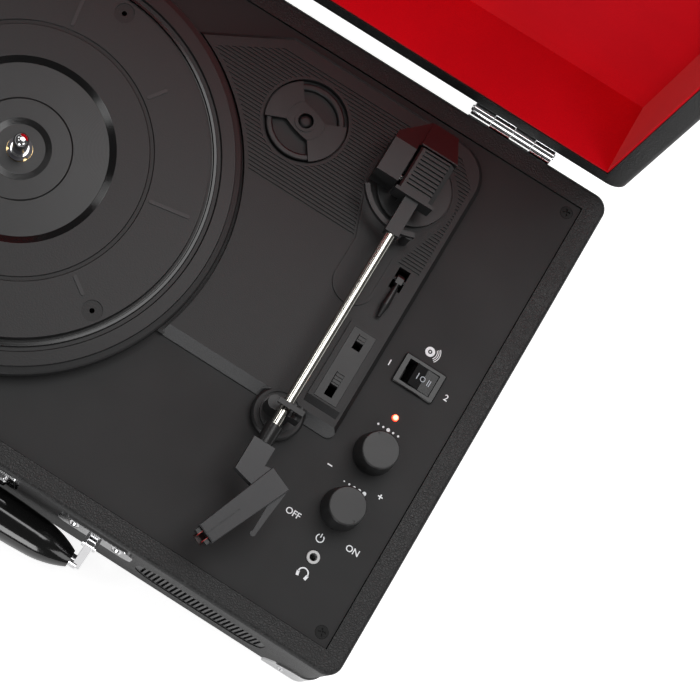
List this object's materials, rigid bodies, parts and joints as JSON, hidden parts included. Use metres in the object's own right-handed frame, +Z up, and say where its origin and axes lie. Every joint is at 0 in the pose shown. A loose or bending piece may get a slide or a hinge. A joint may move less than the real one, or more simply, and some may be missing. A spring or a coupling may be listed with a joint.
{
  "type": "suitcase record player",
  "caption": "Portable suitcase turntable: leather-covered case with hinged lid, platter, tonearm with cueing, front grilles, carry handle and latch.",
  "frame": {"origin": "middle of the bounding box of the open player, on the surface its feet stand on", "axes": "+X to the right along the case, +Y to the hinge side at the rear, +Z up"},
  "size_m": [0.3586, 0.346, 0.3371],
  "materials": {
    "board": "dark grey fine textured laminate",
    "brass": "turned",
    "chrome": "polished",
    "dark": "satin black",
    "gloss": "glossy black",
    "inner_wood": "bare fibreboard",
    "knob": "satin black",
    "leather": "black grained leather cloth",
    "led": "translucent orange",
    "lining": "red velvet",
    "moulding": "fine textured black",
    "paper": "pressed paper",
    "pcb": "green laminate",
    "platter": "textured with polished rings",
    "red_plastic": "red",
    "red_socket": "nickel and black",
    "rubber": "matte",
    "steel": "satin"
  },
  "bodies": {
    "base": {"case_base": "leather", "bottom_board": "inner_wood", "feet": "rubber", "corner_caps": "chrome", "motor_board": "board", "board_screws": "steel", "deck_chassis": "moulding", "spindle": "chrome", "spindle_clip": "steel", "thrust_washer": "dark", "drive_belt": "rubber", "motor": "steel", "motor_screws": "steel", "arm_rest": "dark", "switch_plate": "dark", "rocker_bezel": "gloss", "potentiometers": "steel", "led_lens": "led", "headphone_jack": "dark", "circuit_board": "pcb", "speaker_grilles": "gloss", "speakers": "steel", "speaker_cones": "paper", "socket_plate": "dark", "rear_sockets": "red_socket", "handle_plates": "chrome", "handle_screws": "chrome", "latch_plate": "chrome", "hinge_base_leaves": "chrome"},
    "lid": {"lid_shell": "leather", "lid_lining": "lining", "hinge_lid_leaves": "chrome", "hasp_plate": "chrome"},
    "hasp": {"latch_hasp": "chrome"},
    "lock_button": {"latch_button": "chrome"},
    "handle": {"handle_grip": "gloss", "handle_links": "chrome"},
    "turntable": {"platter": "platter", "platter_bush": "brass"},
    "pulley": {"motor_pulley": "brass"},
    "adapter": {"record_adapter": "dark"},
    "arm_yoke": {"tonearm_yoke": "dark", "tilt_pin": "steel"},
    "arm": {"tonearm_block": "dark", "tonearm_tube": "chrome", "tube_collar": "dark", "headshell_neck": "dark", "headshell": "gloss", "cartridge": "red_plastic", "stylus": "red_plastic", "finger_lift": "dark"},
    "cue_bar": {"cue_lift": "dark"},
    "cue_handle": {"cue_lever": "steel", "cue_grip": "dark"},
    "clip": {"arm_clip": "dark"},
    "speed_switch": {"speed_slider": "dark"},
    "autostop_switch": {"autostop_slider": "dark"},
    "rocker": {"rocker_cap": "gloss"},
    "pitch_control": {"pitch_knob": "knob"},
    "volume_control": {"volume_knob": "knob"}
  },
  "joints": [
    {"name": "lid_hinge", "type": "hinge", "parent": "base", "child": "lid", "pos_m": [0, 0.1083, 0.0744], "axis": [-1, 0, 0], "range_deg": [-95, 0]},
    {"name": "hasp_hinge", "type": "hinge", "parent": "lid", "child": "hasp", "pos_m": [0, 0.14075, 0.33516], "axis": [1, 0, 0], "range_deg": [0, 172]},
    {"name": "lock_button_slide", "type": "slide", "parent": "base", "child": "lock_button", "axis": [1, 0, 0], "range_m": [0, 0.003], "stiffness_N_per_m": 300, "springref_m": -0.002},
    {"name": "handle_swing", "type": "hinge", "parent": "base", "child": "handle", "pos_m": [0, -0.1538, 0.047], "axis": [-1, 0, 0], "range_deg": [0, 90]},
    {"name": "platter_spin", "type": "hinge", "parent": "base", "child": "turntable", "pos_m": [-0.0636, -0.0274, 0.084], "axis": [0, 0, 1], "continuous": true},
    {"name": "motor_spin", "type": "hinge", "parent": "base", "child": "pulley", "pos_m": [-0.00722, -0.06542, 0.074], "axis": [0, 0, 1], "continuous": true},
    {"name": "adapter_lift", "type": "slide", "parent": "base", "child": "adapter", "axis": [0, 0, 1], "range_m": [0, 0.025]},
    {"name": "tonearm_yaw", "type": "hinge", "parent": "base", "child": "arm_yoke", "pos_m": [0.0964, 0.0561, 0.084], "axis": [0, 0, -1], "range_deg": [0, 47]},
    {"name": "tonearm_tilt", "type": "hinge", "parent": "arm_yoke", "child": "arm", "pos_m": [0.0964, 0.0561, 0.088], "axis": [-1, 0, 0], "range_deg": [0, 1.2]},
    {"name": "cue_bar_lift", "type": "slide", "parent": "base", "child": "cue_bar", "axis": [0, 0, 1], "range_m": [0, 0.00051]},
    {"name": "cue_lever_turn", "type": "hinge", "parent": "base", "child": "cue_handle", "pos_m": [0.1119, 0.0173, 0.0776], "axis": [-1, 0, 0], "range_deg": [0, 70.01]},
    {"name": "arm_clip_turn", "type": "hinge", "parent": "base", "child": "clip", "pos_m": [0.1026, -0.0644, 0.0984], "axis": [0, 1, 0], "range_deg": [0, 100]},
    {"name": "speed_slide", "type": "slide", "parent": "base", "child": "speed_switch", "axis": [0, -1, 0], "range_m": [0, 0.0053]},
    {"name": "autostop_slide", "type": "slide", "parent": "base", "child": "autostop_switch", "axis": [0, -1, 0], "range_m": [0, 0.0034]},
    {"name": "rocker_turn", "type": "hinge", "parent": "base", "child": "rocker", "pos_m": [0.1424, -0.0153, 0.0664], "axis": [0, -1, 0], "range_deg": [0, 24]},
    {"name": "pitch_turn", "type": "hinge", "parent": "base", "child": "pitch_control", "pos_m": [0.1424, -0.0556, 0.079], "axis": [0, 0, 1], "range_deg": [-188, 112]},
    {"name": "volume_turn", "type": "hinge", "parent": "base", "child": "volume_control", "pos_m": [0.1424, -0.0845, 0.079], "axis": [0, 0, 1], "range_deg": [0, 262]}
  ],
  "couplings": [
    {"joint": "motor_spin", "follows": "platter_spin", "ratio": 11.619},
    {"joint": "cue_bar_lift", "follows": "tonearm_tilt", "m_per_rad": 0.024},
    {"joint": "cue_lever_turn", "follows": "tonearm_tilt", "ratio": 58.333}
  ]
}
